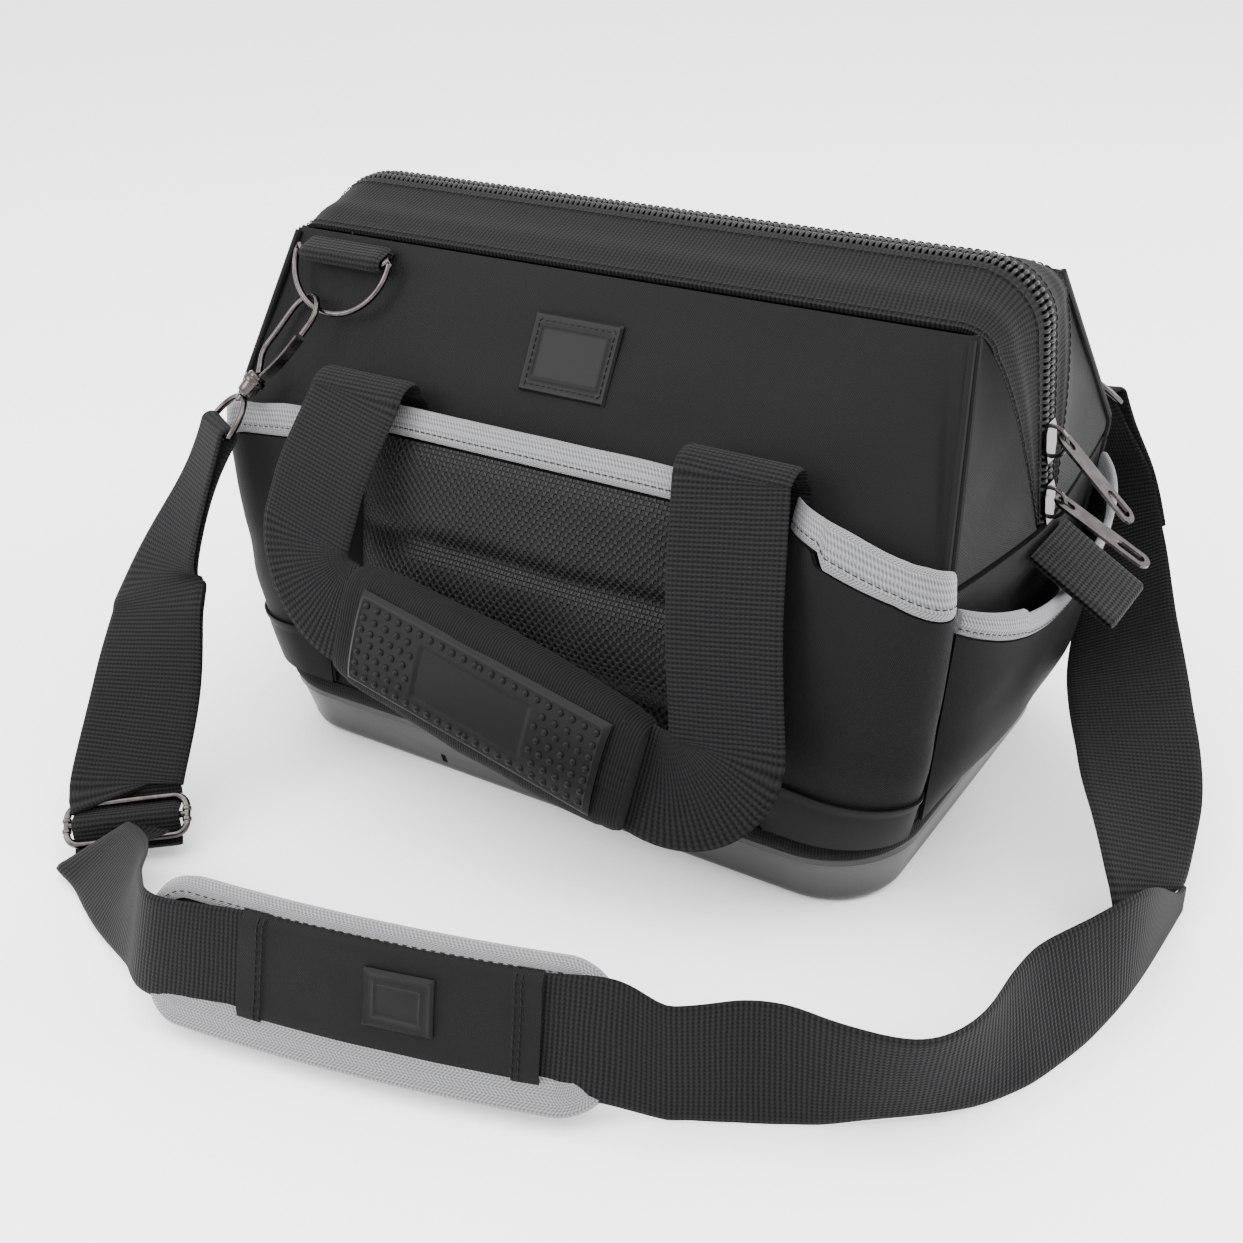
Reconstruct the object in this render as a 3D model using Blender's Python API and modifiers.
"""Gate-mouth tool bag with a moulded hard base, carry handles and a shoulder strap.

The origin is the middle of the flat underside. +X runs toward the end with the zip sliders,
-Y is the front with the mesh pocket, +Z is up. All lengths are in metres. The bag is built for
half a turn about Z: what hangs at the front left corner also hangs at the back right corner.
"""
import math

import bmesh
import bpy
from mathutils import Matrix, Vector

# Driving sizes of the bag
RIM_HALF_LENGTH = 0.1650
RIM_HALF_WIDTH = 0.1100
BASE_HEIGHT = 0.0280
FOLD_HEIGHT = 0.1550
BAND_HEIGHT = 0.2340
RIDGE_HEIGHT = 0.2470
FOLD_HALF_LENGTH = 0.1775
FOLD_HALF_WIDTH = 0.0910
BAND_HALF_LENGTH = 0.1640
BAND_HALF_WIDTH = 0.0440
RIDGE_HALF_LENGTH = 0.1730
CLOTH = 0.0028
WEBBING_WIDTH = 0.0500
WEBBING = 0.0020
SEAT = 0.0003
FOLD_EDGE_HEIGHT = 0.1475
END_FOLD_HEIGHT = 0.1400
FOLD_GAP = 0.0034

# Finishes: colour, roughness, metallic
FINISHES = {
    "base_plastic": ((0.030, 0.030, 0.032), 0.38, 0.0),
    "body_cloth": ((0.012, 0.012, 0.013), 0.85, 0.0),
    "webbing": ((0.016, 0.016, 0.017), 0.80, 0.0),
    "binding": ((0.330, 0.345, 0.370), 0.85, 0.0),
    "mesh_cloth": ((0.010, 0.010, 0.011), 0.90, 0.0),
    "zip_coil": ((0.014, 0.014, 0.015), 0.45, 0.0),
    "rubber_pad": ((0.014, 0.014, 0.015), 0.60, 0.0),
    "black_nickel": ((0.210, 0.200, 0.195), 0.22, 1.0),
    "frame_steel": ((0.420, 0.420, 0.430), 0.40, 1.0),
    "board": ((0.050, 0.048, 0.046), 0.70, 0.0),
}

for old in list(bpy.data.objects):
    bpy.data.objects.remove(old)

PARTS = bpy.data.collections.new("hard_bottom_tool_bag")
CUTTERS = bpy.data.collections.new("cutters")
bpy.context.scene.collection.children.link(PARTS)
bpy.context.scene.collection.children.link(CUTTERS)


def material(node, finish):
    """The node's own Principled material, in one of the bag's finishes."""
    colour, roughness, metallic = FINISHES[finish]
    made = bpy.data.materials.new(node)
    made.use_nodes = True
    shader = made.node_tree.nodes["Principled BSDF"]
    shader.inputs["Base Color"].default_value = (*colour, 1.0)
    shader.inputs["Roughness"].default_value = roughness
    shader.inputs["Metallic"].default_value = metallic
    return made


def add_part(node, mesh, finish):
    """A named object for a finished mesh, in the parts' collection."""
    made = bpy.data.objects.new(node, mesh)
    PARTS.objects.link(made)
    mesh.materials.clear()
    mesh.materials.append(material(node, finish))
    return made


def add_cutter(node, mesh):
    made = bpy.data.objects.new(node, mesh)
    CUTTERS.objects.link(made)
    made.hide_render = True
    made.display_type = "WIRE"
    return made


def boolean(part, other, operation):
    """A Boolean modifier on the part, with the other object kept among the cutters."""
    step = part.modifiers.new(operation.lower(), "BOOLEAN")
    step.operation = operation
    step.solver = "EXACT"
    step.object = other
    return step


def mesh_of(bm, name):
    bmesh.ops.recalc_face_normals(bm, faces=bm.faces)
    mesh = bpy.data.meshes.new(name)
    bm.to_mesh(mesh)
    bm.free()
    return mesh


def turned(point, half_turn):
    """The point, or its place after half a turn about Z."""
    return Vector((-point[0], -point[1], point[2])) if half_turn else Vector(point)


def spread(count, low=0.0, high=1.0):
    return [low + (high - low) * i / (count - 1) for i in range(count)]


def stations(value, table):
    """The value read from a table of (place, size) stations, straight between them."""
    for (a, low), (b, high) in zip(table, table[1:]):
        if value <= b:
            return low + (high - low) * (value - a) / (b - a)
    return table[-1][1]


def smooth_path(points, count):
    """A smooth curve through the points, read at evenly spaced steps."""
    points = [Vector(p) for p in points]
    ends = [2 * points[0] - points[1]] + points + [2 * points[-1] - points[-2]]
    fine, steps = [], 24
    for a, b, c, d in zip(ends, ends[1:], ends[2:], ends[3:]):
        for i in range(steps):
            t = i / steps
            fine.append(0.5 * (2 * b + (c - a) * t + (2 * a - 5 * b + 4 * c - d) * t**2
                               + (3 * b - a - 3 * c + d) * t**3))
    fine.append(points[-1])
    lengths = [0.0]
    for a, b in zip(fine, fine[1:]):
        lengths.append(lengths[-1] + (b - a).length)
    out, k = [], 0
    for i in range(count):
        goal = lengths[-1] * i / (count - 1)
        while k < len(fine) - 2 and lengths[k + 1] < goal:
            k += 1
        span = max(lengths[k + 1] - lengths[k], 1e-12)
        out.append(fine[k].lerp(fine[k + 1], min(1.0, (goal - lengths[k]) / span)))
    return out


def grid_mesh(name, rows):
    """A quad sheet through rows of points."""
    bm = bmesh.new()
    lines = [[bm.verts.new(p) for p in row] for row in rows]
    for low, high in zip(lines, lines[1:]):
        for i in range(len(low) - 1):
            bm.faces.new((low[i], low[i + 1], high[i + 1], high[i]))
    mesh = bpy.data.meshes.new(name)
    bm.to_mesh(mesh)
    bm.free()
    return mesh


def sheet(node, rows, thickness, finish):
    """A sheet through rows of outer points, thickened inward by Solidify."""
    made = add_part(node, grid_mesh(node, rows), finish)
    step = made.modifiers.new("thickness", "SOLIDIFY")
    step.thickness = thickness
    step.offset = -1.0
    step.use_even_offset = False
    for face in made.data.polygons:
        face.use_smooth = True
    return made


def loft(node, sections, finish):
    """A closed solid through rings of points, capped at both ends.

    Each face starts at a corner that makes the cuts on the two sides of a thin strip match, so
    a twisted strip keeps its thickness.
    """
    bm = bmesh.new()
    rings = [[bm.verts.new(p) for p in ring] for ring in sections]
    for low, high in zip(rings, rings[1:]):
        for i in range(len(low)):
            j = (i + 1) % len(low)
            if i >= len(low) / 2:
                bm.faces.new((low[i], low[j], high[j], high[i]))
            else:
                bm.faces.new((low[j], high[j], high[i], low[i]))
    bm.faces.new(rings[0])
    bm.faces.new(rings[-1])
    return add_part(node, mesh_of(bm, node), finish)


def ribbon(node, centres, widths, width, thickness, finish):
    """Webbing along a path: widths gives the direction of its width at each point.

    The width is one size, or a size for each point where the webbing is gathered.
    """
    sections = []
    sizes = width if isinstance(width, list) else [width] * len(centres)
    for i, centre in enumerate(centres):
        along = centres[min(i + 1, len(centres) - 1)] - centres[max(i - 1, 0)]
        across = widths[i] - along * widths[i].dot(along) / along.length_squared
        across.normalize()
        through = along.normalized().cross(across) * (thickness / 2)
        across = across * (sizes[i] / 2)
        sections.append([centre - across - through, centre + across - through,
                         centre + across + through, centre - across + through])
    return loft(node, sections, finish)


def tube_mesh(name, points, radius, cyclic=False, sides=8):
    """A round wire through the points, as one closed mesh."""
    curve = bpy.data.curves.new(name, "CURVE")
    curve.dimensions = "3D"
    curve.bevel_depth = radius
    curve.bevel_resolution = (sides - 4) // 2
    curve.use_fill_caps = True
    line = curve.splines.new("POLY")
    line.points.add(len(points) - 1)
    for spot, point in zip(line.points, points):
        spot.co = (*point, 1.0)
    line.use_cyclic_u = cyclic
    holder = bpy.data.objects.new(name, curve)
    bpy.context.scene.collection.objects.link(holder)
    evaluated = holder.evaluated_get(bpy.context.evaluated_depsgraph_get())
    mesh = bpy.data.meshes.new_from_object(evaluated)
    bpy.data.objects.remove(holder)
    bm = bmesh.new()
    bm.from_mesh(mesh)
    bmesh.ops.remove_doubles(bm, verts=bm.verts, dist=radius / 50)
    bpy.data.meshes.remove(mesh)
    return mesh_of(bm, name)


def box_mesh(name, size, matrix):
    bm = bmesh.new()
    bmesh.ops.create_cube(bm, size=1.0, matrix=matrix @ Matrix.Diagonal((*size, 1.0)))
    return mesh_of(bm, name)


def cylinder_mesh(name, radius, depth, matrix, sides=20):
    bm = bmesh.new()
    bmesh.ops.create_cone(bm, cap_ends=True, segments=sides, radius1=radius, radius2=radius,
                          depth=depth, matrix=matrix)
    return mesh_of(bm, name)


def frame_at(origin, x_axis, z_axis):
    """A matrix with its origin here, Z along z_axis and X as near x_axis as that allows."""
    z_axis = Vector(z_axis).normalized()
    x_axis = Vector(x_axis)
    x_axis = (x_axis - z_axis * x_axis.dot(z_axis)).normalized()
    y_axis = z_axis.cross(x_axis)
    made = Matrix((x_axis, y_axis, z_axis)).transposed().to_4x4()
    made.translation = Vector(origin)
    return made


def outline_plate(name, outline, thickness, matrix):
    """A flat plate from an outline in its own XY plane, centred on that plane."""
    curve = bpy.data.curves.new(name, "CURVE")
    curve.dimensions = "2D"
    curve.fill_mode = "BOTH"
    curve.extrude = thickness / 2
    for loop in outline:
        line = curve.splines.new("POLY")
        line.points.add(len(loop) - 1)
        for spot, (x, y) in zip(line.points, loop):
            spot.co = (x, y, 0.0, 1.0)
        line.use_cyclic_u = True
    holder = bpy.data.objects.new(name, curve)
    bpy.context.scene.collection.objects.link(holder)
    evaluated = holder.evaluated_get(bpy.context.evaluated_depsgraph_get())
    mesh = bpy.data.meshes.new_from_object(evaluated)
    bpy.data.objects.remove(holder)
    mesh.transform(matrix)
    bm = bmesh.new()
    bm.from_mesh(mesh)
    bmesh.ops.remove_doubles(bm, verts=bm.verts, dist=thickness / 100)
    bpy.data.meshes.remove(mesh)
    return mesh_of(bm, name)


def oval(half_x, half_y, count=24, centre=(0.0, 0.0)):
    """A racetrack outline: two half circles and the straights between them."""
    radius = min(half_x, half_y)
    points = []
    for i in range(count):
        angle = 2 * math.pi * (i + 0.5) / count
        x, y = radius * math.cos(angle), radius * math.sin(angle)
        x += math.copysign(half_x - radius, x)
        y += math.copysign(half_y - radius, y)
        points.append((centre[0] + x, centre[1] + y))
    return points


def rounded_ring(half_x, half_y, radius, z, steps=8):
    """A rectangle with round corners at one height, as a ring of points."""
    ring = []
    for k in range(4):
        cx = (half_x - radius) * (1 if k in (0, 3) else -1)
        cy = (half_y - radius) * (1 if k in (0, 1) else -1)
        for i in range(steps + 1):
            angle = math.pi / 2 * (k + i / steps)
            ring.append(Vector((cx + radius * math.cos(angle), cy + radius * math.sin(angle), z)))
    return ring


# The outer surface of the cloth body. Sizes by height: where the front panel's flat ends,
# where the corner piping runs, and how far the end panel bulges past the piping.
FRONT_Y = [(BASE_HEIGHT, RIM_HALF_WIDTH), (FOLD_HEIGHT, FOLD_HALF_WIDTH),
           (BAND_HEIGHT, BAND_HALF_WIDTH)]
PIPING_X = [(BASE_HEIGHT, RIM_HALF_LENGTH - CLOTH / 2), (FOLD_HEIGHT, FOLD_HALF_LENGTH),
            (BAND_HEIGHT, BAND_HALF_LENGTH)]
RIM_PIPING_SHARE = 0.73
FOLD_PIPING_SHARE = 0.975
PIPING_Y = [(BASE_HEIGHT, RIM_HALF_WIDTH * RIM_PIPING_SHARE),
            (FOLD_HEIGHT, FOLD_HALF_WIDTH * FOLD_PIPING_SHARE),
            (BAND_HEIGHT, BAND_HALF_WIDTH * FOLD_PIPING_SHARE)]
RIM_FLAT_SHARE = 0.76
FOLD_FLAT_SHARE = 0.94
FLAT_X = [(BASE_HEIGHT, RIM_HALF_LENGTH * RIM_FLAT_SHARE),
          (FOLD_HEIGHT, FOLD_HALF_LENGTH * FOLD_FLAT_SHARE),
          (BAND_HEIGHT, BAND_HALF_LENGTH * FOLD_FLAT_SHARE)]
RIM_END_BULGE = 0.0010
CREASE_HEIGHT = 0.1300
CREASE_HALF_LENGTH = 0.1830
BAND_MIDDLE_HALF_LENGTH = 0.1750
END_MIDDLE_X = [(BASE_HEIGHT, RIM_HALF_LENGTH - CLOTH / 2 + RIM_END_BULGE),
                (CREASE_HEIGHT, CREASE_HALF_LENGTH), (BAND_HEIGHT, BAND_MIDDLE_HALF_LENGTH)]
FLAT_PART_SHARE = 0.8
SIDE_BELLY = 0.0030
PROBE = 0.0005


def belly(z):
    """How far the filled side wall swells between the base and the fold."""
    share = (z - BASE_HEIGHT) / (FOLD_HEIGHT - BASE_HEIGHT)
    return SIDE_BELLY * math.sin(math.pi * min(1.0, max(0.0, share)))


def front_point(t, z):
    """The front panel's outer surface: t runs from -1 at the left piping to 1 at the right."""
    flat_x, piping_x = stations(z, FLAT_X), stations(z, PIPING_X)
    front_y, piping_y = stations(z, FRONT_Y) + belly(z), stations(z, PIPING_Y)
    reach = abs(t)
    if reach <= FLAT_PART_SHARE:
        return Vector((flat_x * t / FLAT_PART_SHARE, -front_y, z))
    angle = math.pi / 2 * (reach - FLAT_PART_SHARE) / (1 - FLAT_PART_SHARE)
    x = flat_x + (piping_x - flat_x) * math.sin(angle)
    y = front_y - (front_y - piping_y) * (1 - math.cos(angle))
    return Vector((math.copysign(x, t), -y, z))


def end_point(y, z):
    """The right end panel's outer surface at a distance y from the middle."""
    piping_x, piping_y = stations(z, PIPING_X), stations(z, PIPING_Y)
    middle_x = stations(z, END_MIDDLE_X)
    return Vector((piping_x + (middle_x - piping_x) * (1 - (y / piping_y) ** 2), y, z))


def out_from(surface, u, v, distance):
    """A point of the surface moved outward along its normal."""
    point = surface(u, v)
    du = surface(u + PROBE, v) - surface(u - PROBE, v)
    dv = surface(u, v + PROBE) - surface(u, v - PROBE)
    normal = du.cross(dv).normalized()
    return point + normal * distance


def front_fold(t):
    """The height of the fold across the front: level, then down round each corner."""
    share = max(0.0, (abs(t) - FLAT_PART_SHARE) / (1 - FLAT_PART_SHARE))
    return FOLD_HEIGHT + (FOLD_EDGE_HEIGHT - FOLD_HEIGHT) * (1 - math.cos(math.pi / 2 * share))


def end_fold(y):
    """The height of the fold across the end: lowest at the foot of the zip."""
    share = min(1.0, abs(y) / PIPING_Y[1][1])
    return END_FOLD_HEIGHT + (FOLD_EDGE_HEIGHT - END_FOLD_HEIGHT) * share


def t_at(x, z):
    """The front panel's t at a distance x from the middle, on its flat part."""
    return FLAT_PART_SHARE * x / stations(z, FLAT_X)


# Moulded base tray: an open shell with a drafted wall, a rolled rim and two drain notches
TRAY_WALL = 0.0030
TRAY_DRAFT = 0.0060
TRAY_CORNER = 0.0400
TRAY_EDGE_RADIUS = 0.0060
TRAY_LIP = 0.0012
TRAY_LIP_HEIGHT = 0.0045
NOTCH_X = 0.0580
NOTCH_WIDTH = 0.0030
NOTCH_HEIGHT = 0.0050
NOTCH_DEPTH = 0.0012
OVERRUN = 0.0040


def tray_ring(inset, z):
    return rounded_ring(RIM_HALF_LENGTH - inset, RIM_HALF_WIDTH - inset, TRAY_CORNER - inset, z)


def build_tray():
    """The outer skin goes up over the rim lip and down inside to the floor."""
    lip_z = BASE_HEIGHT - TRAY_LIP_HEIGHT
    rings = []
    for i in range(4):
        angle = math.pi / 2 * i / 3
        inset = TRAY_DRAFT + TRAY_EDGE_RADIUS * (1 - math.sin(angle))
        rings.append(tray_ring(inset, TRAY_EDGE_RADIUS * (1 - math.cos(angle))))
    rings.append(tray_ring(TRAY_LIP, lip_z))
    rings.append(tray_ring(0.0, lip_z + TRAY_LIP))
    rings.append(tray_ring(0.0, BASE_HEIGHT))
    rings.append(tray_ring(TRAY_WALL + TRAY_LIP, BASE_HEIGHT))
    rings.append(tray_ring(TRAY_DRAFT + TRAY_WALL, TRAY_WALL + TRAY_EDGE_RADIUS / 2))
    rings.append(tray_ring(TRAY_DRAFT + TRAY_WALL + TRAY_EDGE_RADIUS / 2, TRAY_WALL))
    tray = loft("base_tray", rings, "base_plastic")
    for side in (-1, 1):
        for x in (-NOTCH_X, NOTCH_X):
            size = (NOTCH_WIDTH, 2 * NOTCH_DEPTH + OVERRUN, NOTCH_HEIGHT)
            place = Matrix.Translation((x, side * (RIM_HALF_WIDTH - TRAY_DRAFT + OVERRUN / 2),
                                        TRAY_EDGE_RADIUS + NOTCH_HEIGHT / 2))
            boolean(tray, add_cutter("notch", box_mesh("notch", size, place)), "DIFFERENCE")


# Stiff board on the tray's floor, under the lining
BOARD_THICKNESS = 0.0040
BOARD_CLEARANCE = 0.0020


def build_board():
    inset = TRAY_DRAFT + TRAY_WALL + TRAY_EDGE_RADIUS / 2 + BOARD_CLEARANCE
    low = TRAY_WALL + SEAT
    loft("base_board", [tray_ring(inset, low), tray_ring(inset, low + BOARD_THICKNESS)], "board")


# Woven tape sewn round the joint between the cloth and the tray's rim
TAPE_HEIGHT = 0.0070
TAPE_THICKNESS = 0.0035
TAPE_PROUD = 0.0008


def build_seam_tape():
    low, high = BASE_HEIGHT + SEAT, BASE_HEIGHT + SEAT + TAPE_HEIGHT
    outer, inner = -TAPE_PROUD, TAPE_THICKNESS - TAPE_PROUD
    mid = outer - TAPE_PROUD
    rings = [tray_ring(inner, low), tray_ring(outer, low), tray_ring(mid, (low + high) / 2),
             tray_ring(outer, high), tray_ring(inner, high)]
    bm = bmesh.new()
    made = [[bm.verts.new(p) for p in ring] for ring in rings]
    for k in range(len(made)):
        a, b = made[k], made[(k + 1) % len(made)]
        for i in range(len(a)):
            j = (i + 1) % len(a)
            bm.faces.new((a[i], a[j], b[j], b[i]))
    add_part("base_seam_tape", mesh_of(bm, "base_seam_tape"), "webbing")


# Cloth walls: padded panels between the seam tape and the fold, with a piping bead on each edge
WALL_LOW = BASE_HEIGHT + TAPE_HEIGHT + 2 * SEAT
PIPING_BEAD = 0.0016
PIPING_WIDTH = 0.0040
WALL_ROWS = 7
FRONT_COLUMNS = 15
CORNER_COLUMNS = 5
END_COLUMNS = 9


def front_ts():
    """Even columns over the flat and over both corners, and close ones at the piping."""
    flat = spread(FRONT_COLUMNS, -FLAT_PART_SHARE, FLAT_PART_SHARE)
    corner = spread(CORNER_COLUMNS, FLAT_PART_SHARE, 1.0)[1:]
    return [-t for t in reversed(corner)] + flat + corner


def build_walls():
    for half_turn, node in ((False, "front_wall"), (True, "back_wall")):
        rows = []
        for v in spread(WALL_ROWS):
            heights = [(t, WALL_LOW + (front_fold(t) - WALL_LOW) * v) for t in front_ts()]
            rows.append([turned(front_point(t, z), half_turn) for t, z in heights])
        sheet(node, rows, CLOTH, "body_cloth")
    for half_turn, node in ((False, "right_end_wall"), (True, "left_end_wall")):
        rows = []
        for v in spread(WALL_ROWS):
            row = []
            for share, rise in end_columns():
                z = WALL_LOW + (end_fold(share * PIPING_Y[1][1]) - WALL_LOW) * v
                y = share * (stations(z, PIPING_Y) - SEAT)
                row.append(turned(out_from(end_point, y, z, rise), half_turn))
            rows.append(row)
        sheet(node, rows, CLOTH, "body_cloth")


def end_columns():
    """Shares of the piping's distance across the end, with the rise of the piping bead."""
    bead = PIPING_WIDTH / FOLD_HALF_WIDTH
    left = [(-1.0, 0.0), (-1 + bead / 2, PIPING_BEAD), (-1 + bead, 0.0)]
    flat = [(share, 0.0) for share in spread(END_COLUMNS, -1 + bead, 1 - bead)[1:-1]]
    return left + flat + [(-share, rise) for share, rise in reversed(left)]


# Mouth: the band's inner edge lies beside the zip, its outer edge is the roof line and then
# slants in down the end, and meets the zip at the pivot where the two mouth frames cross
PIVOT_HEIGHT = 0.1430
MOUTH_LOW = END_FOLD_HEIGHT + FOLD_GAP
BAND_MARGIN = 0.0025
ZIP_HALF = 0.0048
ZIP_GAP = 0.0008
ZIP_THICKNESS = 0.0030
BAND_THICKNESS = 0.0022
RIDGE_CORNER = 0.0260
BAND_CORNER = 0.0100
BAND_FOOT = 0.0010
BAND_LOW = 0.1465
LEG_STEPS = 6
ARC_STEPS = 5
ROOF_STEPS = 12


def band_edge(z):
    """The outer edge of the band on the end, as a distance from the middle."""
    share = (z - MOUTH_LOW) / (BAND_HEIGHT - MOUTH_LOW)
    low = ZIP_HALF + SEAT + BAND_MARGIN + BAND_FOOT
    return low + (BAND_HALF_WIDTH * FOLD_PIPING_SHARE - low) * share


def ridge_line(y, height, half_length, corner, low=MOUTH_LOW):
    """One edge of the mouth: up the left end, round the corner, along, and down the right."""
    right = []
    top = height - corner
    for z in spread(LEG_STEPS, low, top):
        right.append(Vector((end_point(-y(z), z).x, -y(z), z)))
    start = right[-1]
    finish = Vector((half_length - corner, -y(height), height))
    for i in range(1, ARC_STEPS + 1):
        angle = math.pi / 2 * i / ARC_STEPS
        share = i / ARC_STEPS
        x = finish.x + (start.x - finish.x) * math.cos(angle)
        z = top + (height - top) * math.sin(angle)
        right.append(Vector((x, start.y + (finish.y - start.y) * share, z)))
    across = [Vector((x, finish.y, height))
              for x in spread(ROOF_STEPS, finish.x, -finish.x)[1:-1]]
    left = [Vector((-p.x, p.y, p.z)) for p in reversed(right)]
    return right + across + left


def inner_edge(y, low=MOUTH_LOW):
    return ridge_line(lambda z: y, RIDGE_HEIGHT, RIDGE_HALF_LENGTH, RIDGE_CORNER, low)


def outer_edge():
    return ridge_line(band_edge, BAND_HEIGHT, BAND_HALF_LENGTH, BAND_CORNER, BAND_LOW)


def build_bands():
    """Webbing sleeves that carry the mouth frames, in three strips across their width."""
    near, far = inner_edge(ZIP_HALF + SEAT + BAND_MARGIN, BAND_LOW), outer_edge()
    rows = [inner_edge(ZIP_HALF + SEAT, BAND_LOW)]
    rows += [[a.lerp(b, share) for a, b in zip(near, far)] for share in spread(4)]
    for half_turn, node in ((False, "front_band"), (True, "back_band")):
        sheet(node, [[turned(p, half_turn) for p in row] for row in rows],
              BAND_THICKNESS, "webbing")


FRAME_RADIUS = 0.0020
FRAME_PLACE_SHARE = 0.62
FRAME_FOOT = 0.0100


def build_frames():
    """Spring-steel wire under each band: along the roof and down both ends."""
    near, far = inner_edge(ZIP_HALF + SEAT, BAND_LOW), outer_edge()
    inset = BAND_THICKNESS + FRAME_RADIUS + SEAT
    middle = Vector((0.0, 0.0, PIVOT_HEIGHT))
    path = []
    for i, (a, b) in enumerate(zip(near, far)):
        spot = a.lerp(b, FRAME_PLACE_SHARE)
        before = near[max(i - 1, 0)].lerp(far[max(i - 1, 0)], FRAME_PLACE_SHARE)
        k = min(i + 1, len(near) - 1)
        after = near[k].lerp(far[k], FRAME_PLACE_SHARE)
        normal = (after - before).cross(b - a).normalized()
        if normal.dot(middle - spot) < 0:
            normal = -normal
        if spot.z > MOUTH_LOW + FRAME_FOOT:
            path.append(spot + normal * inset)
    for half_turn, node in ((False, "front_mouth_frame"), (True, "back_mouth_frame")):
        add_part(node, tube_mesh(node, [turned(p, half_turn) for p in path], FRAME_RADIUS),
                 "frame_steel")


def build_zip():
    """Each half of the coil zip with its tape, from one end of the bag over to the other."""
    near, far = inner_edge(ZIP_GAP), inner_edge(ZIP_HALF)
    for half_turn, node in ((False, "front_zip_chain"), (True, "back_zip_chain")):
        rows = [[turned(p, half_turn) for p in line] for line in (near, far)]
        sheet(node, rows, ZIP_THICKNESS, "zip_coil")


# Upper walls: the cloth between the fold and the band, wrapped round both ends. It folds when
# the mouth opens.
UPPER_DROP = 0.0018
UPPER_ROWS = 7
TRIANGLE_COLUMNS = 4


def build_upper_walls():
    rows = []
    top = BAND_HEIGHT - UPPER_DROP
    for v in spread(UPPER_ROWS):
        right = []
        for share in spread(TRIANGLE_COLUMNS)[1:]:
            low = end_fold(PIPING_Y[1][1] * (1 - share)) + FOLD_GAP
            z = low + (top - low) * v
            high = stations(z, PIPING_Y)
            right.append(end_point(-high + (high - band_edge(z) - SEAT) * share, z))
        left = [Vector((-p.x, p.y, p.z)) for p in reversed(right)]
        middle = []
        for t in front_ts():
            low = front_fold(t) + FOLD_GAP
            middle.append(front_point(t, low + (top - low) * v))
        rows.append(left + middle + right)
    for half_turn, node in ((False, "front_upper_wall"), (True, "back_upper_wall")):
        sheet(node, [[turned(p, half_turn) for p in row] for row in rows], CLOTH, "body_cloth")


# Pockets: cloth panels that stand off the wall at the mouth and are sewn down at the sides
# and the bottom, and the folded binding along each mouth
POCKET_CLOTH = 0.0022
POCKET_LOW = WALL_LOW + 0.0020
POCKET_SEAT = 0.0008
BINDING_SEAT = 0.0010
BINDING_HEIGHT = 0.0110
BINDING_THICKNESS = 0.0034
POCKET_ROWS = 8
SIDE_POWER_SHARE = 6.0
POUCH_RISE_SHARE = 0.455


def pocket_gap(u, v, depth):
    """The pouch's stand-off: nothing at the sides and the bottom, full depth at the mouth."""
    side = 1 - abs(2 * u - 1) ** SIDE_POWER_SHARE
    rise = math.sin(math.pi / 2 * min(1.0, v / POUCH_RISE_SHARE))
    return POCKET_SEAT + depth * side * rise


def build_pocket(node, surface, left, right, top_left, top_right, depth, columns, finish,
                 sag=0.0, half_turn=False, crease=None):
    """A pocket between two sides given in the surface's own u, with a mouth between two heights.

    Where it crosses a crease of the wall, its last row but one lies on the crease.
    """
    rows = []
    shares = spread(POCKET_ROWS)
    if crease:
        shares[-2] = (crease - POCKET_LOW) / (top_left - POCKET_LOW)
    for v in shares:
        row = []
        for u in spread(columns):
            top = top_left + (top_right - top_left) * u - sag * math.sin(math.pi * u)
            z = POCKET_LOW + (top - POCKET_LOW) * v
            place = left(z) + (right(z) - left(z)) * u
            row.append(turned(out_from(surface, place, z, pocket_gap(u, v, depth) + POCKET_CLOTH),
                              half_turn))
        rows.append(row)
    sheet(node, rows, POCKET_CLOTH, finish)
    rows = []
    for v in (0.0, 1.0):
        row = []
        for u in spread(columns):
            top = top_left + (top_right - top_left) * u - sag * math.sin(math.pi * u)
            z = top + BINDING_SEAT + BINDING_HEIGHT * v
            place = left(z) + (right(z) - left(z)) * u
            row.append(turned(out_from(surface, place, z,
                                       pocket_gap(u, 1.0, depth) + BINDING_THICKNESS), half_turn))
        rows.append(row)
    sheet(node + "_binding", rows, BINDING_THICKNESS, "binding")


CENTRE_POCKET_HALF = 0.0940
CENTRE_POCKET_TOP = 0.1600
CENTRE_POCKET_DEPTH = 0.0070
SIDE_POCKET_INNER = 0.1140
LEFT_POCKET_TOP = 0.1440
LEFT_POCKET_INNER_TOP = 0.1530
LEFT_POCKET_DEPTH = 0.0035
RIGHT_POCKET_TOP = 0.1460
RIGHT_POCKET_INNER_TOP = 0.1600
RIGHT_POCKET_DEPTH = 0.0120
RIGHT_POCKET_SAG = 0.0050
SIDE_POCKET_EDGE_T_SHARE = 0.985
END_POCKET_DEPTH = 0.0120
END_POCKET_TOP = 0.1300
END_POCKET_SAG = 0.0200
END_POCKET_EDGE = 0.0065


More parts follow.
